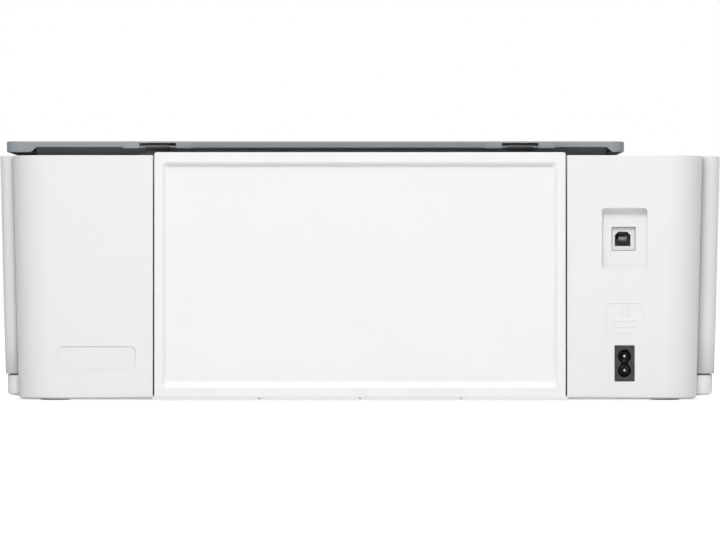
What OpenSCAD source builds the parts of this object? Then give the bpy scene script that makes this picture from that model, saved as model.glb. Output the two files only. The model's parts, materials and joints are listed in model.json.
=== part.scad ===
// Inkjet printer with a flatbed scanner and refillable ink tanks.
// Frame: +Z up, front towards -Y, origin on the floor under the middle of the casing.
// Millimetres. box(), slab_*() and rod_*() take [low, high] ranges in this frame.

/* [Casing] */
// Width over the side covers at the deck
body_w = 435; // [425:0.2:530]
// Depth from the front face to the closed input tray
body_d = 361.5; // [358:0.5:440]
// Height of the deck, which is the top of the white casing
deck_z = 147.5; // [146:0.1:180]
// Height of the joint between the side covers and the base pan
split_z = 15.9; // [15:0.1:18]
// Wall thickness of the covers
wall = 2.5; // [2.2:0.1:3]
// How far each side cover draws in from the deck to the joint
side_draft = 3.1; // [0:0.1:5]
// How far the front face leans back at the deck
front_lean = 8; // [4:0.5:10]
// Plan radius of the front corners
front_r = 34; // [24:1:38]
// Plan radius of the shoulders, where the side covers end
shoulder_r = 8; // [5:0.5:10]
// Visible gap between neighbouring covers
seam = 0.4; // [0.3:0.05:0.6]
// Distance from the front face back to the bezel's side seam
bezel_depth = 61.75; // [60:0.25:64]
// Height of the pan's floor above the surface it stands on
foot_h = 2.8; // [1:0.1:3.5]

/* [Rear cover] */
// Depth of the rear cover, from the shoulders to its back face
rear_depth = 23.75; // [22:0.25:30]
// How far the rear cover is set in from the side cover on the ink tanks' side
tank_side_step = 8; // [6:0.1:12]
// How far the rear cover is set in from the side cover on the sockets' side
socket_side_step = 10.8; // [8:0.1:12]
// How far the rear cover draws in from the deck to its foot
rear_draft = 3.7; // [0:0.1:5]
// Plan radius of the rear cover's corners
rear_r = 22; // [14:1:23]
// Height of the rear cover's lower edge
rear_foot_z = 1.2; // [0.9:0.1:4]

/* [Input tray] */
// Width of the input tray panel
tray_w = 246.8; // [240:0.2:256]
// Thickness of the input tray panel
tray_t = 6.25; // [6:0.05:7]
// How far the panel stands behind the rear cover
tray_proud = 0.75; // [0.3:0.05:1]
// How far the panel rises above the deck
tray_rise = 1.8; // [1:0.1:3]
// Width of the rim round the panel's dish
tray_rim = 5.2; // [4:0.1:6.5]
// Depth of the panel's dish
dish_depth = 3; // [2:0.1:3.4]
// Gap between the panel and the rear cover on each side
tray_gap = 0.9; // [0.6:0.1:1.2]
// Distance between the paper guides when they are fully open
paper_w = 216.6; // [210:0.2:218]

/* [Scanner] */
// Width of the control strip beside the scanner lid
strip_w = 57.8; // [56:0.2:64]
// Setback of the scanner lid from the other side
lid_side = 3.9; // [3.5:0.1:10]
// Distance from the casing's back to the lid's rear edge
lid_back = 23.75; // [23:0.25:26]
// Distance from the front face to the lid's front edge
lid_front = 65.25; // [65:0.25:80]
// Height of the lid's top above the deck
lid_rise = 8.8; // [8.5:0.1:12]
// Height of the lid's skirt, from its lower edge to its top
lid_skirt = 6.5; // [6:0.1:7]
// Plan radius of the lid's corners
lid_r = 9; // [6:1:14]
// Depth of the scanner tub below the deck
tub_depth = 25.3; // [24:0.1:27]
// Length of the scanner glass
glass_w = 308; // [300:1:312]
// Width of the scanner glass
glass_d = 226; // [220:1:228]
// Width of a lid hinge's opening
hinge_w = 22; // [20:0.2:26]

/* [Sockets] */
// Width and height of the pocket round the data socket
pocket_size = [27.3, 36.6]; // [20:0.1:40]
// Depth of that pocket
pocket_depth = 5; // [4:0.1:6]
// Side of the square opening for the data socket
usb_window = 14.2; // [13.6:0.1:15]
// Width and height of the mains inlet's face
inlet_size = [11.7, 21.4]; // [11:0.1:24]
// Distance between the mains pins
pin_pitch = 8.6; // [8.6:0.1:8.6]
// Radius of a mains pin
pin_r = 1.2; // [1.2:0.1:1.2]
// Height of the mains inlet's middle
inlet_mid = 22.5; // [20:0.1:30]
// Distance from the casing's middle to the two sockets
socket_x = 158.8; // [150:0.1:164]

/* [Output] */
// Half the width of the output slot
slot_half = 116; // [114:0.5:118]
// Height of the output slot's top edge
slot_top = 50; // [48:0.5:52]
// Length of the output tray
tray_len = 140; // [130:1:150]
// Height of the front door's top edge
door_top = 128; // [120:0.5:130]

/* [Ink] */
// Pitch of the ink chambers
tank_pitch = 19.8; // [19:0.1:20]
// Depth of the ink chambers, front to back
tank_len = 64; // [50:1:70]
// Height of the top of the ink chambers
tank_top = 112; // [100:1:114]

/* [Print mechanism] */
// Height of the feed and output roller axes
roller_z = 40; // [39:0.5:42]
// Radius of the feed and output rollers
roller_r = 6; // [5:0.5:6.5]
// Gear tooth module
gear_m = 1; // [1:0.1:1]
// Teeth on the feed and output roller gears
feed_teeth = 50; // [50:2:50]
// Teeth on the idler gear between them
idle_teeth = 36; // [36:1:36]
// Teeth on the pickup roller gear
pick_teeth = 40; // [40:1:40]
// Teeth on the feed motor pinion
motor_teeth = 12; // [12:1:12]
// Width of the gears
gear_w = 8; // [6:0.5:9]
// Radius of the pickup roller
pick_r = 12; // [10:0.5:13]
// Width of the print carriage
carriage_w = 76; // [70:1:80]
// Radius of the carriage rod
rod_r = 4; // [3:0.1:5]

/* [Hidden] */
$fn = 48;

white = [0.93, 0.94, 0.93];
lid_grey = [0.47, 0.50, 0.52];
dark = [0.28, 0.29, 0.30];
black = [0.10, 0.10, 0.11];
steel = [0.70, 0.71, 0.73];

eps = 0.01;       // thickness of a hull's end levels
over = 1;         // how far a cut runs past what it cuts
reach = 60;       // how far a hull's ends lie past the planes that cut it flat
run = 0.05;       // radial clearance of a shaft in its bore
fit = 0.3;        // clearance between parts that slide past each other

// Casing outline -----------------------------------------------------------
rear = body_d / 2;
front = -body_d / 2;
shoulder_y = rear - tray_proud - rear_depth;   // back of the side covers
skin_y = rear - tray_proud;                    // back face of the rear cover
bezel_y = front + bezel_depth;                 // seam between bezel and side covers
function rise(z) = (z - split_z) / (deck_z - split_z);
function half_w(z) = body_w / 2 - side_draft * (1 - rise(z));
function front_y(z) = front + front_lean * rise(z);
// Half width of the rear cover at the side s, +1 for the ink tanks' side and -1 for the sockets'
function rear_half_w(z, s = -1) =
    body_w / 2 - (s > 0 ? tank_side_step : socket_side_step) - rear_draft * (deck_z - z) / (deck_z - rear_foot_z);

// Helpers --------------------------------------------------------------------
module box(x, y, z)
    translate([x[0], y[0], z[0]])
        cube([x[1] - x[0], y[1] - y[0], z[1] - z[0]]);

module rod_x(r, x, y, z)
    translate([x[0], y, z]) rotate([0, 90, 0]) cylinder(r = r, h = x[1] - x[0]);

module rod_y(r, x, y, z)
    translate([x, y[1], z]) rotate([90, 0, 0]) cylinder(r = r, h = y[1] - y[0]);

module rod_z(r, x, y, z)
    translate([x, y, z[0]]) cylinder(r = r, h = z[1] - z[0]);

// Outline of a rectangle with round corners, in 6 steps a corner
function round_rect(x, y, r, n = 6) = [
    for (c = [[x[1] - r, y[1] - r, 0], [x[0] + r, y[1] - r, 90],
              [x[0] + r, y[0] + r, 180], [x[1] - r, y[0] + r, 270]])
        for (i = [0:n]) [c[0] + r * cos(c[2] + 90 * i / n), c[1] + r * sin(c[2] + 90 * i / n)]
];

module slab_z(x, y, z, r)
    translate([0, 0, z[0]]) linear_extrude(z[1] - z[0]) polygon(round_rect(x, y, r));

module slab_y(x, y, z, r)
    translate([0, y[1], 0]) rotate([90, 0, 0])
        linear_extrude(y[1] - y[0]) polygon(round_rect(x, z, r));

// An outline of [y, z] points drawn out along X
module profile_x(x, points)
    translate([x[0], 0, 0]) rotate([90, 0, 90]) linear_extrude(x[1] - x[0]) polygon(points);

// An outline of [x, z] points drawn out along Y
module profile_y(y, points)
    translate([0, y[1], 0]) rotate([90, 0, 0]) linear_extrude(y[1] - y[0]) polygon(points);

module both_sides() {
    children();
    mirror([1, 0, 0]) children();
}

function widen(range, by) = [range[0] - by, range[1] + by];
function around(middle, size) = [middle - size / 2, middle + size / 2];

// Casing solid --------------------------------------------------------------
module casing_level(z, inset)
    for (s = [-1, 1]) {
        translate([s * (half_w(z) - front_r), front_y(z) + front_r, z])
            cylinder(r = front_r - inset, h = eps, $fn = 64);
        translate([s * (half_w(z) - shoulder_r), shoulder_y - shoulder_r, z])
            cylinder(r = shoulder_r - inset, h = eps, $fn = 32);
    }

module casing_solid(inset, z)
    hull() {
        casing_level(z[0], inset);
        casing_level(z[1] - eps, inset);
    }

// The casing solid cut flat at both ends
module casing_block(inset, z)
    intersection() {
        casing_solid(inset, widen(z, reach));
        box([-body_w, body_w], [-body_d, body_d], z);
    }

module casing_shell(outer, inner)
    difference() {
        casing_block(outer, [split_z, deck_z]);
        casing_solid(inner, widen([split_z, deck_z], reach));
    }

module side_cover(s)
    color(white) intersection() {
        casing_shell(0, wall);
        box(s > 0 ? [cover_in, body_w] : [-body_w, -cover_in],
            [bezel_y + seam, shoulder_y + over], widen([split_z, deck_z], over));
    }
cover_in = rear_half_w(rear_foot_z) - 5;   // inner end of a side cover's shoulder wall

// Base pan --------------------------------------------------------------------
pan_top = split_z - seam;
pan_floor = foot_h + wall;
pan_inset = 1.2;                 // pan wall behind the side covers' outer face
pan_chamfer = 2.2;
tray_half = slot_half - 4;       // half the width of the output tray
rail_in = tray_half - 4;         // ledges that carry the output tray
rail_out = slot_half;
tray_z = [14, 18.5];             // output tray plate
ledge_z = tray_z[0] - fit;
feet_xy = [[185, front + 42], [185, rear - 46]];
foot_r = 9;
screw_xy = [[150, front + 40], [196, rear - 70]];
screw_r = 1.7;

module pan_solid(inset, z, chamfer)
    intersection() {
        hull() {
            casing_level(z[0], inset + chamfer);
            if (chamfer > 0) casing_level(z[0] + chamfer * 0.6, inset);
            casing_level(z[1] + reach, inset);
        }
        box([-body_w, body_w], [-body_d, body_d], z);
    }

module base_pan()
    color(white) difference() {
        union() {
            difference() {
                pan_solid(pan_inset, [foot_h, pan_top], pan_chamfer);
                pan_solid(pan_inset + wall, [pan_floor, pan_top + over], 0);
            }
            box([-cover_in, cover_in], [shoulder_y - wall - over, rear - tray_t - 7], [foot_h, pan_floor]);
            both_sides() {
                slab_z([window_half + wall + 1, rear_half_w(rear_foot_z) - wall - 3],
                    [shoulder_y - wall - over, skin_y - wall - 2], [foot_h, pan_floor], 17);
                box([window_half + 1, window_half + 40], [shoulder_y - wall - over, skin_y - 24], [foot_h, pan_floor]);
                box([rail_in, rail_out], [front + 6, front + tray_len + 8], [pan_floor - over, ledge_z]);
                box([tray_half + fit, rail_out], [front + 6, front + tray_len + 8], [ledge_z - over, tray_z[1] + 3]);
                for (p = screw_xy)
                    rod_z(4, p[0], p[1], [foot_h, pan_top - 2]);
            }
            // stands for the ink tank block
            for (y = [tank_y[0] + 6, tank_y[1] - 9])
                box([tank_x[0] + 3, tank_x[1] - 3], [y, y + 3], [pan_floor - over, tank_z[0]]);
        }
        // front opening for the output tray, and the open back that the rear cover closes
        box([-tray_half - fit, tray_half + fit], [front - over, front + 8], [lip_z[0] - 0.5, pan_top + over]);
        box([-cover_in, cover_in], [shoulder_y - wall - 5, shoulder_y + over], [pan_floor, pan_top + over]);
        both_sides() {
            for (p = feet_xy) rod_z(foot_r + 0.2, p[0], p[1], [foot_h - over, foot_h + 1.2]);
            for (p = screw_xy) {
                rod_z(screw_r, p[0], p[1], [foot_h - over, pan_top + over]);
                rod_z(3.2, p[0], p[1], [foot_h - over, foot_h + 2.2]);
            }
        }
    }

module rubber_feet()
    color(dark) both_sides() for (p = feet_xy)
        rod_z(foot_r, p[0], p[1], [0, foot_h + 1.2]);

module casing_screws()
    color(steel) both_sides() for (p = screw_xy) difference() {
        union() {
            rod_z(3, p[0], p[1], [foot_h + 0.5, foot_h + 2.2]);
            rod_z(screw_r, p[0], p[1], [foot_h + 2.2, pan_top - 1]);
        }
        box(around(p[0], 3.4), around(p[1], 0.8), [foot_h, foot_h + 1.3]);
        box(around(p[0], 0.8), around(p[1], 3.4), [foot_h, foot_h + 1.3]);
    }

// Rear cover -------------------------------------------------------------------
window_half = tray_w / 2 + tray_gap;
bridge_y = [shoulder_y + seam, shoulder_y + seam + wall];
bridge_top = 76;
inner_back = rear - tray_t;              // front face of the closed tray panel
carrier_y = [rear - 11.95, rear - 8.55];
groove_depth = 1.6;
pocket_x = around(-socket_x, pocket_size[0]);
pocket_z = around(97.6, pocket_size[1]);
usb_z = 97.3;
inlet_x = around(-socket_x, inlet_size[0]);
inlet_z = around(inlet_mid, inlet_size[1]);
plate_x = around(-socket_x - 0.3, 22.7);  // raised-mark panel above the inlet
plate_z = around(47.7, 21.7);
label_x = around(158, 46.4);
label_z = around(25.9, 13.4);
mark_depth = 0.4;

module rear_level(z, inset)
    for (s = [-1, 1]) {
        translate([s * (rear_half_w(z, s) - rear_r), skin_y - rear_r, z])
            cylinder(r = rear_r - inset, h = eps, $fn = 64);
        translate([s * (rear_half_w(z, s) - inset) - (s > 0 ? 1 : 0), skin_y - 2 * rear_r, z])
            cube([1, 1, eps]);
    }

module rear_solid(inset, z, chamfer)
    intersection() {
        hull() {
            rear_level(z[0], inset + chamfer);
            if (chamfer > 0) rear_level(z[0] + chamfer, inset);
            rear_level(z[1] + reach, inset);
        }
        box([-body_w, body_w], [shoulder_y + seam - (inset > 0 ? over : 0), body_d], z);
    }

module rear_marks() {
    // double square and three plain bars, raised in the panel's recess
    y = [skin_y - mark_depth - over, skin_y - mark_depth + 0.25];
    mid = (plate_x[0] + plate_x[1]) / 2;
    for (side = [6, 3.4]) difference() {
        box(around(mid, side), y, around(plate_z[1] - 4.8, side));
        box(around(mid, side - 1), widen(y, over), around(plate_z[1] - 4.8, side - 1));
    }
    for (i = [0:2])
        box(around(mid, 15 - 2.5 * i), y, around(plate_z[1] - 10.2 - 3.6 * i, 1.2));
}

module rear_cover()
    color(white) difference() {
        union() {
            difference() {
                rear_solid(0, [rear_foot_z, deck_z], 1.5);
                rear_solid(wall, [rear_foot_z - over, deck_z - wall], 0);
                box([-window_half, window_half], [shoulder_y, rear], [0, deck_z + over]);
                slab_y(plate_x, [skin_y - mark_depth, skin_y + over], plate_z, 3);
                slab_y(label_x, [skin_y - mark_depth, skin_y + over], label_z, 3.3);
            }
            rear_marks();
            both_sides()
                box([window_half, window_half + wall], [bridge_y[0], skin_y - 1.6], [pan_floor + fit, deck_z - 0.5]);
            box([-window_half - wall, window_half + wall], bridge_y, [pan_floor + 0.5, bridge_top]);
            slab_y(widen(pocket_x, wall), [skin_y - pocket_depth - 2, skin_y - wall + 0.5], widen(pocket_z, wall), 3);
            // posts that carry the mainboard
            for (p = [[board_x[0] + 8, 124], [board_x[1] - 4, 60]])
                rod_y(3, p[0], [board_y[1], skin_y - wall + 0.5], p[1]);
        }
        both_sides()
            box([window_half - over, window_half + groove_depth], widen(carrier_y, 0.35), [3, deck_z - 5]);
        slab_y(pocket_x, [skin_y - pocket_depth, skin_y + over], pocket_z, 2.3);
        box(around(-socket_x + 0.4, usb_window), [skin_y - pocket_depth - 3, skin_y], around(usb_z, usb_window));
        box(widen(inlet_x, 0.15), [skin_y - wall - over, skin_y + over], widen(inlet_z, 0.15));
    }

// Front bezel -------------------------------------------------------------------
door_half = slot_half - 0.6;
door_z = [slot_top + 6, door_top];
sill_z = door_z[0] - 1.1;                  // top of the bar between slot and door
door_axis = [front_y(door_z[0] + 2.8) + 2.45, door_z[0] + 2.8];
door_pin_r = 1.5;
ink_x0 = slot_half + 2.7;                  // inner edge of the ink lid
ink_axis = [front + 57.75, deck_z - 3.4];
ink_back = ink_axis[0] + 0.8;
window_x = [slot_half + 7, slot_half + 83];
window_z = [36, 110];

module front_bezel()
    color(white) difference() {
        union() {
            intersection() {
                casing_shell(0, wall);
                box([-body_w, body_w], [front - over, bezel_y], widen([split_z, deck_z], over));
            }
            // ears behind the wall that hold the front door's pins
            both_sides()
                box([slot_half, slot_half + 3.4], [front_y(door_axis[1]) + 1.2, door_axis[0] + 4], around(door_axis[1], 9));
        }
        box([-slot_half, slot_half], [front - over, front + 20], [split_z - over, slot_top]);
        box([-slot_half, slot_half], [front - over, front + 30], [sill_z, door_z[1] + 0.4]);
        box(window_x, [front - over, front + 40], window_z);
        box([ink_x0 - seam, body_w], [front - over, ink_back + 3], [door_z[1], deck_z + over]);
        both_sides()
            rod_x(door_pin_r + run, [slot_half - over, slot_half + 2.6], door_axis[0], door_axis[1]);
    }

module tank_window()
    color([0.75, 0.8, 0.82, 0.5]) intersection() {
        casing_shell(0.4, wall - 0.3);
        box(widen(window_x, -0.3), [front - over, front + 40], widen(window_z, -0.3));
    }

module front_door()
    color(white) {
        difference() {
            union() {
                intersection() {
                    casing_shell(0, wall);
                    box([-door_half, door_half], [front - over, front + 30], [door_axis[1], door_z[1] - 0.2]);
                }
                rod_x(2.4, [-door_half, door_half], door_axis[0], door_axis[1]);
                // finger rib behind the top edge
                box([-30, 30], [front_y(door_z[1]) + wall - 0.6, front_y(door_z[1]) + wall + 2], [door_z[1] - 5, door_z[1] - 3.5]);
            }
            box([-18, 18], [front - over, front_y(door_z[1]) + 1.1], [door_z[1] - 9, door_z[1] + over]);
        }
        both_sides()
            rod_x(door_pin_r, [door_half - 3, slot_half + 2], door_axis[0], door_axis[1]);
    }

// Top deck ----------------------------------------------------------------------
deck = [deck_z - 3, deck_z];
lid_x = [-body_w / 2 + strip_w, body_w / 2 - lid_side];
lid_y = [front + lid_front, rear - lid_back];
tub_x = [lid_x[0] + 11, lid_x[1] - 17.8];
tub_y = [lid_y[0] + 5.5, lid_y[1] - 7];
tub_z = [deck_z - tub_depth, deck_z];
panel_x = [-body_w / 2 + 9.3, -body_w / 2 + 51.3];
panel_y = [front + 30, front + 162];
panel_z = [deck_z - 2, deck_z + 0.2];
display_x = widen(panel_x, -5);
display_y = [panel_y[1] - 32, panel_y[1] - 8];
button_x = (panel_x[0] + panel_x[1]) / 2;
button_r = 6;
button_pitch = 20;
function button_y(i) = panel_y[0] + 12 + button_pitch * i;

module top_deck()
    color(white) difference() {
        union() {
            difference() {
                casing_block(wall + seam / 2, deck);
                box([tub_x[0] - 0.5, tub_x[1] + 0.5], [tub_y[0] - 0.5, rear], widen(deck, over));
                box([ink_x0 - seam, body_w], [front - over, ink_back + 3], widen(deck, over));
            }
            // lugs for the ink lid's pins
            for (x = ink_lug_x) {
                rod_x(2, x, ink_axis[0], ink_axis[1]);
                box(x, around(ink_axis[0], 4), [ink_axis[1] - 5.5, ink_axis[1]]);
                box(x, [ink_axis[0] - 2, ink_back + 7], [ink_axis[1] - 5.5, ink_axis[1] - 2.9]);
                box(x, [ink_back + 4, ink_back + 7], [ink_axis[1] - 5.5, deck[0] + 0.1]);
            }
        }
        for (x = ink_lug_x)
            rod_x(ink_pin_r + run, widen(x, over), ink_axis[0], ink_axis[1]);
        slab_z(widen(panel_x, 0.2), widen(panel_y, 0.2), [panel_z[0], deck_z + over], 6.2);
        for (i = [0:4])
            rod_z(3.2, button_x, button_y(i), [deck[0] - over, deck_z]);
    }

module control_panel()
    color(black) difference() {
        slab_z(panel_x, panel_y, panel_z, 6);
        slab_z(widen(display_x, 0.1), widen(display_y, 0.1), [panel_z[1] - 1, panel_z[1] + over], 1.6);
        for (i = [0:4])
            rod_z(button_r + 0.25, button_x, button_y(i), widen(panel_z, over));
    }

module display_window()
    color([0.15, 0.2, 0.25]) slab_z(display_x, display_y, [panel_z[1] - 1, panel_z[1] - 0.1], 1.5);

// The button's head stands in the panel and its stem runs down through the deck
module button(i)
    color(dark) {
        rod_z(button_r, button_x, button_y(i), [panel_z[0] + 1.15, panel_z[1] + 0.7]);
        rod_z(2.8, button_x, button_y(i), [deck[0] - 5, panel_z[0] + 1.15]);
    }

// Scanner ------------------------------------------------------------------------
flange_z = [deck_z, deck_z + 3];
flange_x = [lid_x[0] + 4.8, lid_x[1] - 4.6];
flange_y = [lid_y[0] + 4.5, tub_y[1] - 4];
flange_step = [3.3, 1.7];               // setback and height of the flange's foot
glass_x = around((tub_x[0] + tub_x[1]) / 2, glass_w);
glass_y = around((flange_y[0] + flange_y[1]) / 2 - 1, glass_d);
glass_z = [flange_z[1] - 2.1, flange_z[1] - 0.1];
lid_z = [deck_z + lid_rise - lid_skirt, deck_z + lid_rise];
lid_t = 2;                              // thickness of the lid's top
lid_wall = 2.4;
lid_axis = [lid_y[1] - 2.5, lid_z[1] - 3.3];
lid_pin_r = 0.8;
knuckle_r = 1.6;
boss_w = 10;                            // width of the bosses either side of a hinge's opening
boss_z = [lid_axis[1] - 0.85, lid_axis[1] + 2.2];
band_top = lid_z[0] + 3.4;              // top of the dark band behind the lid
notch_z = band_top - 0.3;               // lower edge of the lid's rear skirt between its ends
hinge_x = [122.1, -96.7];
scan_rod = [glass_y[0] + 112, tub_z[0] + 9.5];
scan_rod_r = 3;
bar_w = 16;                             // width of the scan carriage
bar_x = tub_x[0] + 20;

module scanner_base()
    color(dark) {
        difference() {
            union() {
                box(tub_x, tub_y, tub_z);
                slab_z(flange_x, flange_y, [flange_z[0] + flange_step[1], flange_z[1]], 12);
                slab_z(widen(flange_x, -flange_step[0]), widen(flange_y, -flange_step[0]),
                    [tub_z[1] - over, flange_z[0] + 2], 12);
                box(tub_x, [flange_y[1] - 3, tub_y[1]], [tub_z[1] - over, band_top]);
            }
            // under the flange's overhang, which rests on the deck
            difference() {
                box(widen(flange_x, over), widen(flange_y, over), [tub_z[1] - 2 * over, flange_z[0]]);
                box(tub_x, tub_y, widen(tub_z, 2 * over));
            }
            box(widen(tub_x, -wall), [tub_y[0] + wall, flange_y[1] - 3 - wall], [tub_z[0] + wall, glass_z[0] - 1.2]);
            box(widen(glass_x, -6), widen(glass_y, -6), [glass_z[0] - 2, flange_z[1] + over]);
            slab_z(widen(glass_x, 0.2), widen(glass_y, 0.2), [glass_z[0], flange_z[1] + over], 1);
        }
        // rod supports at both ends of the tub
        for (x = [tub_x[0] + wall - 0.1, tub_x[1] - wall - 4.9])
            difference() {
                box([x, x + 5], around(scan_rod[0], 12), [tub_z[0] + wall - 0.1, scan_rod[1] + 5]);
                rod_x(scan_rod_r, [x - over, x + 5 + over], scan_rod[0], scan_rod[1]);
            }
    }

module scanner_glass()
    color([0.7, 0.85, 0.85, 0.4]) slab_z(glass_x, glass_y, glass_z, 1);

module scan_carriage()
    color(black) difference() {
        union() {
            box([bar_x, bar_x + bar_w], [glass_y[0] + 4, glass_y[1] - 4], [scan_rod[1] + 4, tub_z[1] - 2.6]);
            rod_x(5.6, [bar_x, bar_x + bar_w], scan_rod[0], scan_rod[1]);
        }
        rod_x(scan_rod_r + run, [bar_x - over, bar_x + bar_w + over], scan_rod[0], scan_rod[1]);
        // light slot along the top
        box([bar_x + 6, bar_x + 10], widen([glass_y[0], glass_y[1]], -10), [tub_z[1] - 5, tub_z[1]]);
    }

// Rear skirt of the lid, cut higher between its two ends
module lid_rear_notch() {
    low = lid_z[0];
    ends = [tub_x[0] + 0.6, tub_x[1] - 1.4];
    ramp = 5;                               // length of the S-shaped run at each end
    drop = 0.4;                             // the skirt hangs lower between the hinges
    between = [hinge_x[1] + hinge_w / 2, hinge_x[0] - hinge_w / 2];
    s_curve = [for (t = [0:0.125:1]) [t, t * t * (3 - 2 * t)]];
    profile_y([lid_axis[0] - 3, lid_y[1] + over], concat(
        [[ends[0] - ramp, low - over]],
        [for (p = s_curve) [ends[0] - ramp + ramp * p[0], low + (notch_z - low) * p[1]]],
        [[between[0], notch_z], [between[0], notch_z - drop], [between[1], notch_z - drop], [between[1], notch_z]],
        [for (p = s_curve) [ends[1] + ramp * p[0], notch_z - (notch_z - low) * p[1]]],
        [[ends[1] + ramp, low - over]]));
}

module scanner_lid()
    color(lid_grey) {
        difference() {
            union() {
                difference() {
                    slab_z(lid_x, lid_y, lid_z, lid_r);
                    slab_z(widen(lid_x, -lid_wall), widen(lid_y, -lid_wall), [lid_z[0] - over, lid_z[1] - lid_t], lid_r - lid_wall);
                    lid_rear_notch();
                }
                // bosses either side of each hinge opening
                for (x = hinge_x, s = [-1, 1])
                    box(around(x + s * (hinge_w + boss_w) / 2, boss_w), [lid_axis[0] - 1.9, lid_y[1] + 0.6], boss_z);
            }
            for (x = hinge_x)
                box(around(x, hinge_w), [lid_axis[0] - 3, lid_y[1] + over], [lid_z[0] - over, lid_axis[1] + 2.25]);
        }
        for (x = hinge_x)
            rod_x(lid_pin_r, around(x, hinge_w + 2), lid_axis[0], lid_axis[1]);
    }

module lid_pad()
    color([0.95, 0.95, 0.95])
        slab_z(widen(glass_x, -2), [glass_y[0] + 2, glass_y[1] + 1], [flange_z[1] + 0.35, lid_z[1] - lid_t], 3);

// Each arm is screwed to the back of the tub and ends in the knuckle that holds the lid's pin
module lid_hinge_arms()
    color(dark) for (x = hinge_x) difference() {
        union() {
            rod_x(knuckle_r, around(x, 15), lid_axis[0], lid_axis[1]);
            box(around(x, 15), [tub_y[1], lid_axis[0] - 1], [tub_z[0] + 6, lid_axis[1] - 0.2]);
        }
        rod_x(lid_pin_r + run, around(x, 17), lid_axis[0], lid_axis[1]);
        for (i = [-1:1])
            box(around(x + 4 * i, 1.2), [lid_axis[0] - 2, lid_axis[0] + 3], [lid_axis[1] + knuckle_r - 0.3, lid_axis[1] + 3]);
    }

// Electronics ------------------------------------------------------------------------
board_y = [bridge_y[0] + 1.2, bridge_y[0] + 2.8];
board_x = [-socket_x - 38, -socket_x + 28];
cavity = [8.15, 8.6 + 8.15];            // figure-of-eight cavity of the inlet

module mainboard()
    color([0.1, 0.35, 0.2]) {
        box(board_x, board_y, [40, deck_z - 14]);
        // processor, connectors and capacitors on the front face
        box([board_x[0] + 8, board_x[0] + 26], [board_y[0] - 2, board_y[0]], [100, 118]);
        for (i = [0:2])
            box([board_x[0] + 34 + 10 * i, board_x[0] + 42 + 10 * i], [board_y[0] - 4, board_y[0]], [118, 124]);
        for (i = [0:3])
            rod_y(2.5, board_x[0] + 12 + 12 * i, [board_y[0] - 5, board_y[0]], 50);
    }

module power_supply()
    color(black) difference() {
        box([board_x[0], board_x[1]], [board_y[0] - 39, board_y[0] - 1], [pan_floor, 32]);
        for (i = [0:5])
            box([board_x[0] + 8 + 9 * i, board_x[0] + 12 + 9 * i], [board_y[0] - 34, board_y[0] - 8], [31, 33]);
    }

module eight(r, y)
    union() {
        for (s = [-1, 1])
            rod_y(r, -socket_x, y, inlet_mid + s * pin_pitch / 2);
        box(around(-socket_x, 2 * r - 3.6), y, around(inlet_mid, pin_pitch));
    }

module power_inlet() {
    color(dark) difference() {
        box(inlet_x, [board_y[0] - 1, skin_y - 0.6], inlet_z);
        eight(cavity[0] / 2, [skin_y - 14, skin_y]);
    }
    color(black) for (s = [-1, 1]) difference() {
        rod_y(2.9, -socket_x, [skin_y - 14.5, skin_y - 9], inlet_mid + s * pin_pitch / 2);
        rod_y(2.0, -socket_x, [skin_y - 15, skin_y - 8], inlet_mid + s * pin_pitch / 2);
    }
    color(steel) for (s = [-1, 1]) {
        rod_y(pin_r, -socket_x, [skin_y - 16, skin_y - 3.2], inlet_mid + s * pin_pitch / 2);
        translate([-socket_x, skin_y - 3.2, inlet_mid + s * pin_pitch / 2]) sphere(r = pin_r);
    }
}

usb_x = -socket_x + 0.9;
usb_cut = [8.5, 7.8];                   // opening that takes the plug
usb_skin = 0.45;                        // thickness of the shroud round it
usb_depth = 9;

// Outline of the data socket with its two cut corners, grown by that much
function usb_outline(grow) =
    let (x = widen(around(usb_x, usb_cut[0]), grow), z = widen(around(usb_z, usb_cut[1]), grow), cut = 2)
    [[x[0], z[0]], [x[1], z[0]], [x[1], z[1] - cut], [x[1] - cut, z[1]], [x[0] + cut, z[1]], [x[0], z[1] - cut]];

module usb_port() {
    y = [board_y[1], skin_y - pocket_depth - 2.3];
    color(white) difference() {
        box(around(-socket_x + 0.4, usb_window - 0.5), y, around(usb_z, usb_window - 0.5));
        profile_y([y[1] - usb_depth, y[1] + over], usb_outline(usb_skin));
    }
    color(black) difference() {
        profile_y([y[1] - usb_depth, y[1] - 0.2], usb_outline(usb_skin));
        profile_y([y[1] - usb_depth + 1, y[1] + over], usb_outline(0));
    }
    color(dark) box(around(usb_x, 4.9), [y[1] - usb_depth, y[1] - 1.5], around(usb_z + 0.1, 2.5));
}

// Input tray -------------------------------------------------------------------------
panel_half = tray_w / 2;
tray_span = [rear_foot_z + 1, deck_z + tray_rise];    // the panel's lower and upper edge
dish_x = [-panel_half + tray_rim, panel_half - tray_rim];
dish_z = [tray_span[0] + 6.1, tray_span[1] - 6.3];
floor_t = 2.2;                                    // panel thickness under the dish
tray_axis = [rear - 3.95, 7];
tray_pin_r = 1.4;
ear_x = [panel_half - tray_rim + 1.1, panel_half - tray_rim + 3.1];    // the carrier's ears, inside the rim
pinion_z = 56;
rack_m = 0.8;
pinion_teeth = 12;
pinion_r = pinion_teeth * rack_m / 2;
rack_y = [inner_back - 3.2, inner_back - 0.3];
support_y = [inner_back - 5.5, inner_back - 4];
guide_travel = 57;

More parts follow.
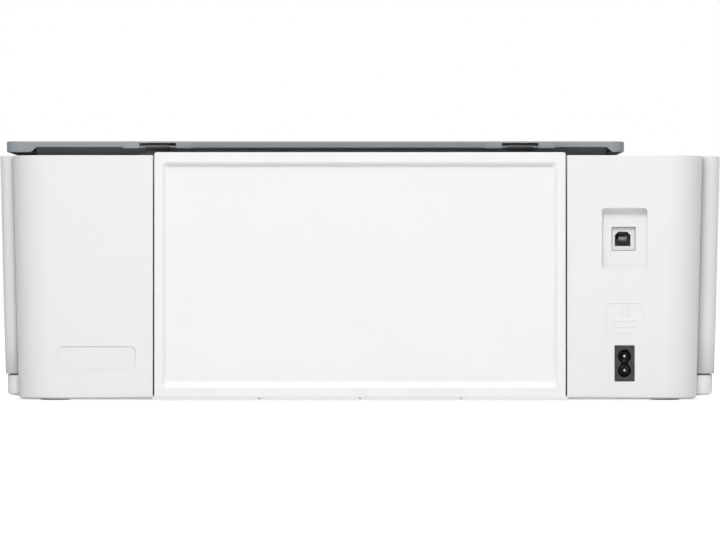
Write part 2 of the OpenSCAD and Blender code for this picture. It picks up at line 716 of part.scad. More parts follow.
module input_tray()
    color(white) {
        difference() {
            slab_y([-panel_half, panel_half], [inner_back, rear], tray_span, 1.5);
            // dish in the back and the hollow in front of it
            slab_y(dish_x, [rear - dish_depth, rear + over], dish_z, 2.4);
            slab_y(dish_x, [inner_back - over, rear - dish_depth - floor_t], widen(dish_z, -1), 2.4);
            both_sides()
                box(widen(ear_x, 0.5), [inner_back - over, tray_axis[0] + 3], [tray_span[0] + 1.2, tray_axis[1] + 5]);
        }
        both_sides()
            rod_x(tray_pin_r, widen(ear_x, 1), tray_axis[0], tray_axis[1]);
        // pin that carries the guides' pinion
        rod_y(1.5, 0, [rack_y[0], rear - dish_depth - floor_t + 0.1], pinion_z);
        rod_y(4, 0, [rack_y[1] + 0.1, rear - dish_depth - floor_t + 0.1], pinion_z);
        // small nubs under the lower edge
        for (x = [-60.4, 0, 60.4])
            box(around(x, 1.2), [rear - 2.4, rear - 1.2], [tray_span[0] - 0.8, tray_span[0] + 0.1]);
    }

module tray_carrier()
    color(dark) difference() {
        union() {
            box([-ear_x[1], ear_x[1]], carrier_y, [3.5, 24]);
            both_sides() {
                box([ear_x[1] - over, window_half + groove_depth - 0.4], carrier_y, [4, 24]);
                box(ear_x, [carrier_y[1] - over, tray_axis[0]], around(tray_axis[1], 3));
                rod_x(2.7, ear_x, tray_axis[0], tray_axis[1]);
            }
        }
        both_sides()
            rod_x(tray_pin_r + run, widen(ear_x, over), tray_axis[0], tray_axis[1]);
        for (x = [-80:40:80])
            box(around(x, 26), widen(carrier_y, over), [9, 19]);
    }

module tray_support_plate()
    color(white) difference() {
        union() {
            box([-panel_half + 9, panel_half - 9], support_y, [28, tray_span[1] - 4]);
            box([-panel_half + 9, panel_half - 9], [support_y[0], rear - dish_depth - floor_t], [28, 31]);
            box([-panel_half + 9, panel_half - 9], [support_y[0], inner_back], [tray_span[1] - 7.2, tray_span[1] - 4]);
        }
        both_sides()
            box([paper_w / 2 - 8.5 - guide_travel, paper_w / 2 + 2.5], widen(support_y, over), around(pinion_z, 3));
        for (x = [-90:30:90])
            box(around(x, 18), widen(support_y, over), [84, 130]);
    }

// Straight rack: teeth along X on the pitch line z = 0, pointing up
module rack_bar(x, z0) {
    p = PI * rack_m;
    n0 = ceil(x[0] / p);
    n1 = floor(x[1] / p) - 1;
    half = p / 4 - 0.09;
    slope = tan(20);
    profile_y(rack_y, concat(
        [[x[0], z0]],
        [[x[0], -1.25 * rack_m]],
        [for (i = [n0:n1], q = [[-half - 1.25 * rack_m * slope, -1.25 * rack_m], [-half + rack_m * slope, rack_m],
                                [half - rack_m * slope, rack_m], [half + 1.25 * rack_m * slope, -1.25 * rack_m]])
            [(i + 0.5) * p + q[0], q[1]]],
        [[x[1], -1.25 * rack_m]],
        [[x[1], z0]]));
}

module width_guide()
    union() {
        inner = paper_w / 2;
        translate([0, 0, pinion_z - pinion_r]) rack_bar([-10, inner + 1], -4.5);
        box([inner - 8, inner + 2], rack_y, [pinion_z - pinion_r - 4.5, pinion_z + 2.4]);
        box([inner - 8, inner + 2], [support_y[0] - 1.4, rack_y[0] + over], around(pinion_z, 2.2));
        box([inner, inner + 2], [support_y[0] - 7.5, support_y[0] - 0.3], [34, 84]);
        box([inner - 8, inner + 2], [support_y[0] - 1.6, support_y[0] - 0.3], [pinion_z - 8, pinion_z + 8]);
    }

module guide_pinion()
    color(white) translate([0, rack_y[1] - 0.1, pinion_z]) rotate([90, 0, 0])
        linear_extrude(rack_y[1] - rack_y[0] - 0.2) difference() {
            gear_2d(pinion_teeth, rack_m, 90);
            circle(r = 1.5 + run);
        }

// Gears ------------------------------------------------------------------------------
backlash = 0.2;
pressure = 20;
function inv(a) = tan(a) * 180 / PI - a;
// Half the angle that a tooth spans at radius r
function tooth_half(n, m, r) =
    let (rp = n * m / 2, rb = rp * cos(pressure), a = acos(min(1, rb / max(r, rb))))
    90 / n - backlash * m / 2 / rp * 180 / PI + inv(pressure) - inv(a);

module gear_2d(n, m, phase) {
    rp = n * m / 2;
    radii = [rp - 1.25 * m, max(rp * cos(pressure), rp - m), rp, rp + m];
    polygon([
        for (i = [0:n - 1], s = [-1, 1], k = [0:3])
            let (r = radii[s < 0 ? k : 3 - k], a = phase + 360 * i / n + s * tooth_half(n, m, r))
            [r * cos(a), r * sin(a)]
    ]);
}

// Phase that puts gear b in mesh with gear a, where b lies at the angle theta from a
function mesh_phase(theta, phase_a, na, nb) = theta + 180 + 180 / nb - (phase_a - theta) * na / nb;

module gear_x(n, phase, axis, bore)
    translate([gear_span[0], axis[0], axis[1]]) rotate([90, 0, 90])
        linear_extrude(gear_w) difference() {
            gear_2d(n, gear_m, phase);
            circle(r = bore);
        }

// Print mechanism --------------------------------------------------------------------
feed_y = rear - 92.75;
train_r = gear_m / 2;
feed_axis = [feed_y, roller_z];
idle_axis = [feed_y - train_r * (feed_teeth + idle_teeth), roller_z];
out_axis = [feed_y - train_r * (2 * feed_teeth + 2 * idle_teeth), roller_z];
pick_angle = 20;
pick_axis = feed_axis + train_r * (feed_teeth + pick_teeth) * [cos(pick_angle), sin(pick_angle)];
motor_angle = 60;
motor_axis = feed_axis + train_r * (feed_teeth + motor_teeth) * [cos(motor_angle), sin(motor_angle)];
idle_phase = mesh_phase(180, 0, feed_teeth, idle_teeth);
out_phase = mesh_phase(180, idle_phase, idle_teeth, feed_teeth);
pick_phase = mesh_phase(pick_angle, 0, feed_teeth, pick_teeth);
motor_phase = mesh_phase(motor_angle, 0, feed_teeth, motor_teeth);

left_plate = [-body_w / 2 + 35.8, -body_w / 2 + 37.3];
mid_plate = [slot_half - 1, slot_half + 0.5];
right_plate = [body_w / 2 - 17.8, body_w / 2 - 16.3];
gear_span = [left_plate[0] - 2.5 - gear_w, left_plate[0] - 2.5];
shaft_r = 3;
frame_y = [out_axis[0] - 14, pick_axis[0] + 11.7];
rail_y = [feed_y - 4, feed_y - 2.5];
rail_z = [roller_z + 18, 112];
rod_axis = [feed_y - 30, roller_z + 26];
pinch_axis = [feed_y, roller_z + roller_r + 3.3];
star_axis = [out_axis[0], roller_z + roller_r + 5.3];
wheel_half = slot_half - 12;
stub_r = 2;
belt_r = 5.1;                           // inner radius of the belt's ends
belt_t = 1;
belt_y = feed_y - 13;
belt_z = [roller_z + 48, roller_z + 53];
drive_x = body_w / 2 - 29.3;
idler_x = left_plate[1] + 12;
motor_r = 8.5;
psu_clear = 34;                         // the left plate clears the power supply up to here
ear_pitch = 40;

// Ears with a bore, hanging from a beam, that carry an axle along X
module axle_ears(axis, top)
    for (x = [-2.5:1:2.5])
        difference() {
            box(around(x * ear_pitch, 1.6), around(axis[0], 5), [axis[1] - 2.2, top]);
            rod_x(1 + run, around(x * ear_pitch, 3), axis[0], axis[1]);
        }

module mech_frame()
    color(steel) difference() {
        union() {
            box(left_plate, frame_y, [psu_clear, rail_z[1]]);
            box(left_plate, [frame_y[0], feed_y + 26.5], [pan_floor, psu_clear + over]);
            box(mid_plate, frame_y, [pan_floor, roller_z + 6]);
            box(mid_plate, [rail_y[0], frame_y[1]], [pan_floor, rail_z[0] + 2]);
            box(right_plate, [rod_axis[0] - 12, rail_y[1]], [rod_axis[1] - 16, rail_z[1]]);
            box([left_plate[0], right_plate[1]], rail_y, rail_z);
            // beam and ears of the pinch rollers
            box([-slot_half, mid_plate[1]], [rail_y[0], feed_y + 8], [rail_z[0], rail_z[0] + 1.5]);
            axle_ears(pinch_axis, rail_z[0] + 0.5);
            // beam, post and ears of the star wheels
            box([left_plate[0], mid_plate[1]], around(out_axis[0] - 2, 11), [roller_z + 20, roller_z + 21.5]);
            box([mid_plate[0] - 2, mid_plate[1]], [frame_y[0], out_axis[0] - 4.5], [roller_z, roller_z + 21.5]);
            axle_ears(star_axis, roller_z + 20.5);
            // belt bracket and motor bracket
            box(around(idler_x, 8), [belt_y - 4, rail_y[1]], [belt_z[0] - 6, belt_z[0] - 2.2]);
            rod_z(1.5, idler_x, belt_y, [belt_z[0] - 3, belt_z[1] + 3]);
            box(around(drive_x, 19), [belt_y - 8.5, rail_y[1]], [belt_z[0] - 3.4, belt_z[0] - 2]);
            rod_x(stub_r, [gear_span[0] - 1, left_plate[1]], idle_axis[0], idle_axis[1]);
        }
        for (a = [feed_axis, out_axis, pick_axis]) {
            rod_x(shaft_r + run, widen(left_plate, over), a[0], a[1]);
            rod_x(shaft_r + run, widen(mid_plate, over), a[0], a[1]);
        }
        rod_x(3, widen(left_plate, over), motor_axis[0], motor_axis[1]);
        for (x = [left_plate, right_plate])
            rod_x(rod_r, widen(x, over), rod_axis[0], rod_axis[1]);
        rod_z(3, drive_x, belt_y, [belt_z[0] - 4, belt_z[0]]);
    }

module guide_rods()
    color(steel) {
        rod_x(rod_r, [left_plate[0], right_plate[1]], rod_axis[0], rod_axis[1]);
        rod_x(scan_rod_r, [tub_x[0] + wall, tub_x[1] - wall], scan_rod[0], scan_rod[1]);
    }

module roller(axis, sleeves, r, teeth, phase)
    {
        color(steel) rod_x(shaft_r, [gear_span[0] - 2, mid_plate[1] + 2], axis[0], axis[1]);
        color(black) for (x = sleeves) difference() {
            rod_x(r, x, axis[0], axis[1]);
            rod_x(shaft_r, widen(x, over), axis[0], axis[1]);
        }
        color(white) gear_x(teeth, phase, axis, shaft_r);
    }

module feed_roller() roller(feed_axis, [[-slot_half + 4, slot_half - 5]], roller_r, feed_teeth, 0);
module output_roller()
    roller(out_axis, [for (i = [-2.5:1:2.5]) around(ear_pitch * i, 18)], roller_r, feed_teeth, out_phase);
module pickup_roller() roller(pick_axis, [[-42, -18], [18, 42]], pick_r, pick_teeth, pick_phase);
module idler_gear() color(white) gear_x(idle_teeth, idle_phase, idle_axis, stub_r + run);

module motor_pinion() {
    color(steel) rod_x(1, [gear_span[0] - 1, left_plate[1] + 14], motor_axis[0], motor_axis[1]);
    color(white) gear_x(motor_teeth, motor_phase, motor_axis, 1);
}

module wheels_on_axle(axis, r, width, offset)
    {
        color(steel) rod_x(1, [-wheel_half, wheel_half], axis[0], axis[1]);
        color(black) for (x = [-2:2], s = [-1, 1]) difference() {
            rod_x(r, around(x * ear_pitch + s * offset, width), axis[0], axis[1]);
            rod_x(1, around(x * ear_pitch + s * offset, width + 2), axis[0], axis[1]);
        }
    }
module pinch_rollers() wheels_on_axle(pinch_axis, 3, 12, 9);
module star_wheels() wheels_on_axle(star_axis, 5, 1, 9);

chute_gap = 0.8;
chute_t = 2;
chute_dir = [cos(60), sin(60)];                       // up the chute, towards the back
chute_low = pick_axis + (pick_r + chute_gap) * [sin(60), -cos(60)] - 12 * chute_dir;
chute_high = chute_low + (bridge_y[0] - 0.2 - chute_t * 1.2 - chute_low[0]) / chute_dir[0] * chute_dir;
chute_off = chute_t * [sin(60), -cos(60)];

module paper_guides()
    color(black) {
        // chute from the input slot down to the feed roller
        profile_x([-slot_half + 3, slot_half - 3], [
            chute_low, chute_high, chute_high + chute_off, chute_low + chute_off,
            [feed_y + 9, roller_z + 1], [feed_y + 9, roller_z + 3]]);
        for (x = [-95:47.5:95])
            profile_x(around(x, 2), [
                chute_low + chute_off * 0.5, chute_high + chute_off * 0.5,
                [chute_high[0] + 0.5, pan_floor], [chute_low[0], pan_floor]]);
        // platen with ribs
        box([left_plate[1], mid_plate[0]], [out_axis[0] + 8, feed_y - 8], [roller_z - 6, roller_z - 2]);
        for (x = [-105:15:105])
            box(around(x, 2), [out_axis[0] + 8.5, feed_y - 8.5], [roller_z - 2.5, roller_z + roller_r - 0.4]);
    }

station_x = [mid_plate[1] + 4, right_plate[0] - 4];
home_x = (station_x[0] + station_x[1]) / 2 - 6.5;
head_z = roller_z + roller_r + 1.5;     // nozzle face of the printheads
head_y = [rod_axis[0] - 46, rod_axis[0] - 10];
head_dx = 17;

module service_station()
    color(black) {
        difference() {
            box(station_x, [head_y[0] - 6, head_y[1] + 6], [pan_floor, roller_z + 3]);
            box(widen(station_x, -2), [head_y[0] - 4, head_y[1] + 4], [roller_z - 20, roller_z + 4]);
        }
        // capping pads on their posts
        for (s = [-1, 1]) {
            box(around(home_x + s * head_dx, 12), around((head_y[0] + head_y[1]) / 2, 16), [roller_z - 21, roller_z + 2]);
            slab_z(around(home_x + s * head_dx, 24), around((head_y[0] + head_y[1]) / 2, 30), [roller_z + 2, head_z - 0.6], 3);
        }
    }

carriage_x = around(home_x, carriage_w);
carriage_z = [roller_z + 12, roller_z + 58];
carriage_y = [head_y[0] - 3, rod_axis[0]];

module print_carriage()
    color(black) difference() {
        union() {
            box(carriage_x, [carriage_y[0], rod_axis[0] - 6], carriage_z);
            rod_x(8, carriage_x, rod_axis[0], rod_axis[1]);
            box(carriage_x, [rod_axis[0] - 8, rod_axis[0]], [rod_axis[1] - 6, rod_axis[1] + 8]);
            // belt clamp
            box(around(home_x, 16), [rod_axis[0] - 8, belt_y - belt_r + 2.2], [belt_z[1] + 0.3, belt_z[1] + 2]);
            for (y = [[rod_axis[0] + 5, belt_y - belt_r - belt_t - fit], [belt_y - belt_r + fit, belt_y - belt_r + 2.2]])
                box(around(home_x, 16), y, [belt_z[0] - 2, belt_z[1] + 2]);
        }
        rod_x(rod_r + run, widen(carriage_x, over), rod_axis[0], rod_axis[1]);
        for (s = [-1, 1])
            box(around(home_x + s * head_dx, 30.6), widen(head_y, 0.3), widen(carriage_z, over));
    }

module printheads()
    color([0.2, 0.2, 0.22]) for (s = [-1, 1]) {
        box(around(home_x + s * head_dx, 30), head_y, [head_z + 3, carriage_z[1] - 7]);
        box(around(home_x + s * head_dx, 16), widen(head_y, -6), [head_z, head_z + 3 + over]);
        rod_z(4, home_x + s * head_dx, head_y[1] - 8, [carriage_z[1] - 7 - over, carriage_z[1] - 3]);
    }

latch_axis = [rod_axis[0] - 3, carriage_z[1] + 4];
module printhead_latch()
    color([0.2, 0.45, 0.7]) difference() {
        union() {
            box(around(home_x, carriage_w - 14), [head_y[0] - 1, latch_axis[0]], [carriage_z[1] + 2.9, carriage_z[1] + 5.1]);
            rod_x(2.1, around(home_x, carriage_w - 14), latch_axis[0], latch_axis[1]);
            box(around(home_x, 24), [carriage_y[0] - 5, head_y[0]], [carriage_z[1] + 2.9, carriage_z[1] + 5.1]);
        }
        for (s = [-1, 1])
            box(around(home_x + s * head_dx, 20), widen(head_y, -8), [carriage_z[1], carriage_z[1] + 8]);
        rod_x(1 + run, around(home_x, carriage_w), latch_axis[0], latch_axis[1]);
    }

module latch_lugs()
    color(black) {
        for (s = [-1, 1])
            box(around(home_x + s * (carriage_w / 2 - 4.5), 4), around(latch_axis[0] - 0.5, 5), [carriage_z[1] - over, latch_axis[1] + 2.5]);
        rod_x(1, around(home_x, carriage_w - 9), latch_axis[0], latch_axis[1]);
    }

module drive_motors()
    color(steel) {
        difference() {
            rod_z(motor_r, drive_x, belt_y, [belt_z[0] - 38, belt_z[0] - 3.4]);
            rod_z(1.6, drive_x, belt_y, [belt_z[0] - 16, belt_z[0] - 3]);
        }
        difference() {
            rod_x(14, [left_plate[1], left_plate[1] + 30], motor_axis[0], motor_axis[1]);
            rod_x(1.1, [left_plate[1] - over, left_plate[1] + 16], motor_axis[0], motor_axis[1]);
        }
    }

module pulley(x, bore)
    color(white) difference() {
        union() {
            rod_z(belt_r - 0.15, x, belt_y, [belt_z[0] - 0.4, belt_z[1] + 0.4]);
            for (z = [belt_z[0] - 1.4, belt_z[1] + 0.4])
                rod_z(belt_r + 1.9, x, belt_y, [z, z + 1]);
        }
        rod_z(bore, x, belt_y, widen(belt_z, 3));
    }

module drive_pulley() {
    pulley(drive_x, 1.5);
    color(steel) rod_z(1.5, drive_x, belt_y, [belt_z[0] - 14, belt_z[1] + 2]);
}
module idler_pulley() pulley(idler_x, 1.5 + run);

module belt_loop(r, z)
    union() {
        for (x = [idler_x, drive_x]) rod_z(r, x, belt_y, z);
        box([idler_x, drive_x], around(belt_y, 2 * r), z);
    }

module drive_belt()
    color(black) difference() {
        belt_loop(belt_r + belt_t, belt_z);
        belt_loop(belt_r, widen(belt_z, over));
    }

// Output tray ------------------------------------------------------------------------
lip_z = [7, 20];
tray_y = [front + 4, front + tray_len];
ext_half = 58;
ext_z = [tray_z[0] + 0.2, tray_z[0] + 2];
lip_y = [front + 0.6, front + 4];
stop_half = 20;
stop_axis = [front + 11, tray_z[1] - 0.75];
stop_len = 24;

module output_tray()
    color(dark) {
        difference() {
            union() {
                box([-tray_half, tray_half], [lip_y[1] - 0.1, tray_y[1]], tray_z);
                slab_y([-tray_half, tray_half], lip_y, lip_z, 1.5);
            }
            // channel for the extender, open at the front
            box([-ext_half - 0.5, ext_half + 0.5], [front, tray_y[1] - 8], [lip_z[0] - over, ext_z[1] + 0.3]);
            // recess for the paper stop
            box([-stop_half - 0.3, stop_half + 0.3], [stop_axis[0] - 1.4, stop_axis[0] + stop_len + 0.5], [tray_z[1] - 1.5, tray_z[1] + 2]);
            rod_x(0.75, [-stop_half - 2.2, stop_half + 2.2], stop_axis[0], stop_axis[1]);
            box([-14, 14], [lip_y[0] - over, lip_y[1] - 1], [lip_z[1] - 5, lip_z[1] + over]);
        }
    }

module tray_extender()
    color(dark) {
        difference() {
            box([-ext_half, ext_half], [lip_y[1] - 0.1, tray_y[1] - 10], ext_z);
            for (x = [-40:20:40])
                box(around(x, 12), [front + 30, tray_y[1] - 30], widen(ext_z, over));
        }
        slab_y([-ext_half, ext_half], [lip_y[0], lip_y[1]], [lip_z[0], ext_z[1]], 1);
    }

module paper_stop()
    color(dark) {
        box([-stop_half, stop_half], [stop_axis[0], stop_axis[0] + stop_len], around(stop_axis[1], 1.2));
        rod_x(0.6, [-stop_half, stop_half], stop_axis[0], stop_axis[1]);
        rod_x(0.7, [-stop_half - 2, stop_half + 2], stop_axis[0], stop_axis[1]);
    }

// Ink tanks --------------------------------------------------------------------------
tank_wall = 1.6;
tank_x = [slot_half + 4.5, slot_half + 4.5 + 4 * tank_pitch + tank_wall];
tank_y = [front + 16.5, front + 16.5 + tank_len];
tank_z = [26, tank_top];
neck_y = front + 34.75;
neck_r = 4.5;
cap_axis = [neck_y + 12, tank_top + 3];
ink_pin_r = 1.2;
ink_lug_x = [[ink_x0 + 3, ink_x0 + 6], [body_w / 2 - 18, body_w / 2 - 15]];
function tank_mid(i) = tank_x[0] + tank_wall / 2 + tank_pitch * (i + 0.5);

module ink_tank_block()
    color([0.85, 0.88, 0.9, 0.6]) difference() {
        union() {
            box(tank_x, tank_y, tank_z);
            for (i = [0:3]) {
                rod_z(neck_r + 2, tank_mid(i), neck_y, [tank_top - over, tank_top + 5]);
                for (s = [-1, 1])
                    box(around(tank_mid(i) + s * 4.2, 2), around(cap_axis[0], 4.4), [tank_top - over, cap_axis[1] + 2.2]);
            }
        }
        for (i = [0:3]) {
            box(around(tank_mid(i), tank_pitch - tank_wall), widen(tank_y, -tank_wall), widen(tank_z, -tank_wall));
            rod_z(neck_r, tank_mid(i), neck_y, [tank_top - 3, tank_top + 6]);
            rod_x(1 + run, around(tank_mid(i), 14), cap_axis[0], cap_axis[1]);
        }
    }

module ink_cap(i, tint)
    color(tint) {
        rod_z(neck_r + 3, tank_mid(i), neck_y, [tank_top + 5.3, tank_top + 7.8]);
        rod_z(neck_r - 0.5, tank_mid(i), neck_y, [tank_top + 3.1, tank_top + 5.3 + eps]);
        box(around(tank_mid(i), 5.6), [neck_y + 5, cap_axis[0] + 1.6], [tank_top + 5.3, tank_top + 7.8]);
        box(around(tank_mid(i), 5.6), around(cap_axis[0], 3.2), [cap_axis[1] - 1.6, tank_top + 7.8]);
        box(around(tank_mid(i), 5), [neck_y - neck_r - 6.5, neck_y - neck_r - 2], [tank_top + 5.3, tank_top + 7.8]);
        rod_x(1, around(tank_mid(i), 10.6), cap_axis[0], cap_axis[1]);
    }

module ink_lid()
    color(white) {
        difference() {
            intersection() {
                casing_solid(0, widen([split_z, deck_z], reach));
                box([ink_x0, body_w], [front - over, ink_back], [door_z[1] + 0.4, deck_z]);
            }
            difference() {
                casing_block(2.2, [split_z - over, deck_z - 2.2]);
                box([0, ink_x0 + 2.2], [front - over, rear], [0, deck_z]);
            }
            box([0, body_w], [ink_axis[0] - 3.4, rear], [0, deck_z - 1.2]);
        }
        // two hinge arms with their pins
        for (x = ink_lug_x) {
            box([x[1] + 0.3, x[1] + 2.5], [ink_axis[0] - 8, ink_axis[0]], [ink_axis[1] - 1.8, deck_z - 1.1]);
            rod_x(1.8, [x[1] + 0.3, x[1] + 2.5], ink_axis[0], ink_axis[1]);
            rod_x(ink_pin_r, [x[0] + 0.2, x[1] + 2.5], ink_axis[0], ink_axis[1]);
        }
    }

// What is drawn ----------------------------------------------------------------------
base_pan();
rear_cover();
side_cover(-1);  // side_cover_left
side_cover(1);  // side_cover_right
front_bezel();
top_deck();
rubber_feet();
casing_screws();
scanner_base();
scanner_glass();
lid_hinge_arms();
control_panel();
display_window();
mainboard();
power_supply();
power_inlet();
usb_port();
mech_frame();
guide_rods();
paper_guides();
service_station();
drive_motors();
drive_belt();
tank_window();
ink_tank_block();
scanner_lid();
lid_pad();
input_tray();
tray_carrier();
tray_support_plate();
color(dark) width_guide();  // width_guide_right
color(dark) translate([0, 0, 2 * pinion_z]) rotate([0, 180, 0]) width_guide();  // width_guide_left
guide_pinion();
front_door();
output_tray();
tray_extender();
paper_stop();
ink_lid();
ink_cap(0, "dimgray");  // ink_cap_1
ink_cap(1, "deepskyblue");  // ink_cap_2
ink_cap(2, "deeppink");  // ink_cap_3
ink_cap(3, "gold");  // ink_cap_4
union() {
    print_carriage();
    latch_lugs();
}
printheads();
printhead_latch();
drive_pulley();
idler_pulley();
feed_roller();
output_roller();
idler_gear();
pickup_roller();
motor_pinion();
pinch_rollers();
star_wheels();
scan_carriage();
button(4);  // button_power
button(3);  // button_wireless
button(2);  // button_info
button(1);  // button_cancel
button(0);  // button_copy
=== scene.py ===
"""Looks of the inkjet printer: studio, materials, rounded shells and small details."""
import json
import math

import bmesh
import bpy
from mathutils import Matrix, Vector


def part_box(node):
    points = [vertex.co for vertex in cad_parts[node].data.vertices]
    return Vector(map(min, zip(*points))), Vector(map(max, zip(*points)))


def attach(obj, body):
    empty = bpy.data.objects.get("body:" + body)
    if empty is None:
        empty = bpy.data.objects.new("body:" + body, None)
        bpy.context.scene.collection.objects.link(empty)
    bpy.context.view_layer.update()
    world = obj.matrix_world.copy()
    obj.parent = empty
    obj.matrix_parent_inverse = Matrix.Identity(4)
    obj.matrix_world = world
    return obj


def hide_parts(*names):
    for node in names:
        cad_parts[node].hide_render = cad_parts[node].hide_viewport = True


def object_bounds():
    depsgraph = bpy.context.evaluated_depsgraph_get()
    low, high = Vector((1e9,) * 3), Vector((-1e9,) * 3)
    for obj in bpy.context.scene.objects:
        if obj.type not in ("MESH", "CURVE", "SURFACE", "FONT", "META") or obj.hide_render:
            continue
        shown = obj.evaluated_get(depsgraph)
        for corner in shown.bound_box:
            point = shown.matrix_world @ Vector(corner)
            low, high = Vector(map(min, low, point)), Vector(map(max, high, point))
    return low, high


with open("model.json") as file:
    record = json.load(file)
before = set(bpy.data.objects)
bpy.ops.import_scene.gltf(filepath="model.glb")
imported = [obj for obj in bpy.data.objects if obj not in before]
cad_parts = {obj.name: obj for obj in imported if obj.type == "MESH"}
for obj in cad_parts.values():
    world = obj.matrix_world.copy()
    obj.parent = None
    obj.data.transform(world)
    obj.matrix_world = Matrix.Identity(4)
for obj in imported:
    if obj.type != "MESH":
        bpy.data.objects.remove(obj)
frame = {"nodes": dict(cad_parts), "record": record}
CAD_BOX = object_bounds()
NODES = frame["nodes"]
RECORD = frame["record"]
BODY_OF = {node: body for body, nodes in RECORD["behaviour"]["bodies"].items() for node in nodes}
SLOT_OF = {part["node"]: part["material_slot"] for part in RECORD["subparts"]}
MM = 0.001

# Camera -----------------------------------------------------------------------
CAMERA_DISTANCE = 4.0          # from the rear face
FIELD_WIDTH = 0.432            # width that the view covers at the rear face
CAMERA_HEIGHT = 0.0786
SENSOR = 36.0
FLOOR_GLOW = 0.8               # what the camera sees on top of the floor's own light


def make_camera():
    data = bpy.data.cameras.new("camera")
    data.sensor_width = SENSOR
    data.lens = SENSOR * CAMERA_DISTANCE / FIELD_WIDTH
    data.clip_end = 50
    camera = bpy.data.objects.new("camera", data)
    camera.location = (0, CAD_BOX[1][1] + CAMERA_DISTANCE, CAMERA_HEIGHT)
    camera.rotation_euler = (math.pi / 2, 0, math.pi)
    bpy.context.collection.objects.link(camera)
    bpy.context.scene.camera = camera


make_camera()


# Studio -----------------------------------------------------------------------
def area_light(name, place, target, size, watts):
    data = bpy.data.lights.new(name, "AREA")
    data.shape = "RECTANGLE"
    data.size, data.size_y = size
    data.energy = watts
    light = bpy.data.objects.new(name, data)
    light.location = place
    light.rotation_euler = (Vector(target) - Vector(place)).to_track_quat("-Z", "Y").to_euler()
    bpy.context.collection.objects.link(light)


def make_studio():
    area_light("overhead", (0, 0.3, 2.4), (0, 0, 0), (3.0, 3.0), 30)
    area_light("rear_box", (0.1, 2.0, 1.75), (0, 0.15, 0.1), (0.9, 0.8), 37)
    area_light("front_box", (-1.6, -2.6, 1.6), (0, 0, 0.05), (2.2, 1.8), 40)
    world = bpy.data.worlds.new("studio")
    world.use_nodes = True
    nodes, links = world.node_tree.nodes, world.node_tree.links
    background = nodes["Background"]
    seen = nodes.new("ShaderNodeBackground")
    seen.inputs["Color"].default_value = (1, 1, 1, 1)
    background.inputs["Color"].default_value = (0.97, 0.98, 1, 1)
    background.inputs["Strength"].default_value = 0.2
    path = nodes.new("ShaderNodeLightPath")
    mix = nodes.new("ShaderNodeMixShader")
    links.new(path.outputs["Is Camera Ray"], mix.inputs[0])
    links.new(background.outputs[0], mix.inputs[1])
    links.new(seen.outputs[0], mix.inputs[2])
    links.new(mix.outputs[0], nodes["World Output"].inputs["Surface"])
    bpy.context.scene.world = world
    bpy.context.scene.view_settings.view_transform = "Standard"


def make_floor():
    """A pale floor that the camera sees nearly white, as a sweep under bright light."""
    mesh = bpy.data.meshes.new("floor")
    half = 30
    corners = [(-half, -half, 0), (half, -half, 0), (half, half, 0), (-half, half, 0)]
    mesh.from_pydata(corners, [], [(0, 1, 2, 3)])
    floor = bpy.data.objects.new("floor", mesh)
    material = bpy.data.materials.new("floor")
    material.use_nodes = True
    shader = material.node_tree.nodes["Principled BSDF"]
    shader.inputs["Base Color"].default_value = (0.9, 0.9, 0.9, 1)
    shader.inputs["Roughness"].default_value = 0.75
    nodes, links = material.node_tree.nodes, material.node_tree.links
    glow = nodes.new("ShaderNodeEmission")
    glow.inputs["Strength"].default_value = FLOOR_GLOW
    both = nodes.new("ShaderNodeAddShader")
    links.new(shader.outputs[0], both.inputs[0])
    links.new(glow.outputs[0], both.inputs[1])
    path = nodes.new("ShaderNodeLightPath")
    mix = nodes.new("ShaderNodeMixShader")
    links.new(path.outputs["Is Camera Ray"], mix.inputs[0])
    links.new(shader.outputs[0], mix.inputs[1])
    links.new(both.outputs[0], mix.inputs[2])
    links.new(mix.outputs[0], nodes["Material Output"].inputs["Surface"])
    mesh.materials.append(material)
    bpy.context.collection.objects.link(floor)


make_studio()
make_floor()


